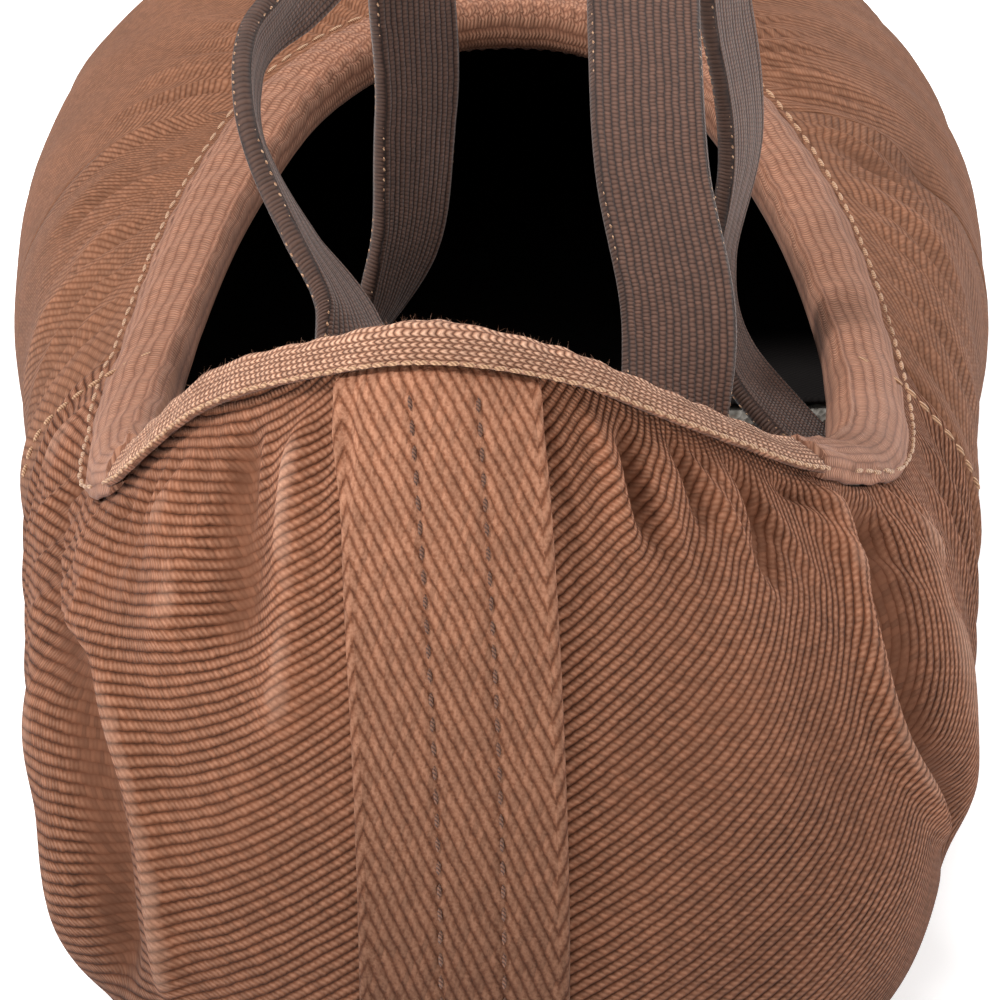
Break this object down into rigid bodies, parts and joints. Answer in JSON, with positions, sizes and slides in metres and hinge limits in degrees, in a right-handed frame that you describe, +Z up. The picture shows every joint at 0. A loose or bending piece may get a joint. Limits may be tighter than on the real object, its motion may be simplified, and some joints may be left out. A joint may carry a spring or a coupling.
{
  "type": "ballet slipper",
  "caption": "Split-sole ballet slipper in ribbed stretch canvas with an elasticated throat, a taped heel seam and crossed elastic straps",
  "frame": {"origin": "middle of the slipper's bounds in plan, on the floor under the soles", "axes": "+Y to the toe, +X to the right seen from behind the heel, +Z up"},
  "size_m": [0.0846, 0.225, 0.0912],
  "materials": {
    "canvas": "twill",
    "tape": "woven twill",
    "trim": "knitted",
    "elastic": "braided",
    "strap": "ribbed webbing",
    "lining": "brushed cotton",
    "suede": "napped",
    "foam": "soft",
    "label": "woven"
  },
  "bodies": {
    "heel": {"left_quarter": "canvas", "right_quarter": "canvas", "arch_panel": "canvas", "arch_lining": "lining", "heel_lining": "lining", "heel_tape": "tape", "heel_binding": "trim", "throat_casing": "trim", "throat_elastic": "elastic", "side_label": "label", "heel_outsole": "suede", "heel_pad": "foam", "heel_sock": "lining"},
    "forefoot": {"vamp_canvas": "canvas", "vamp_lining": "lining", "front_outsole": "suede", "front_pad": "foam", "front_sock": "lining"},
    "over_loop": {"strap_over": "strap"},
    "under_loop": {"strap_under": "strap"}
  },
  "joints": [
    {"name": "arch_flex", "type": "hinge", "parent": "heel", "child": "forefoot", "pos_m": [0, -0.017, 0.004], "axis": [1, 0, 0], "range_deg": [-55, 25], "stiffness_Nm_per_rad": 0.15, "deforming": ["arch_panel", "arch_lining", "throat_casing", "throat_elastic"]},
    {"name": "strap_over_swing", "type": "hinge", "parent": "heel", "child": "over_loop", "pos_m": [-0.0082, -0.098, 0.0402], "axis": [0.5581, 0.7771, -0.291], "range_deg": [-30, 20], "stiffness_Nm_per_rad": 0.01, "deforming": ["strap_over"]},
    {"name": "strap_under_swing", "type": "hinge", "parent": "heel", "child": "under_loop", "pos_m": [0.0123, -0.0961, 0.0357], "axis": [-0.6351, 0.7411, -0.218], "range_deg": [-20, 30], "stiffness_Nm_per_rad": 0.01, "deforming": ["strap_under"]}
  ],
  "couplings": [
    {"joint": "strap_under_swing", "follows": "strap_over_swing", "ratio": -1}
  ]
}
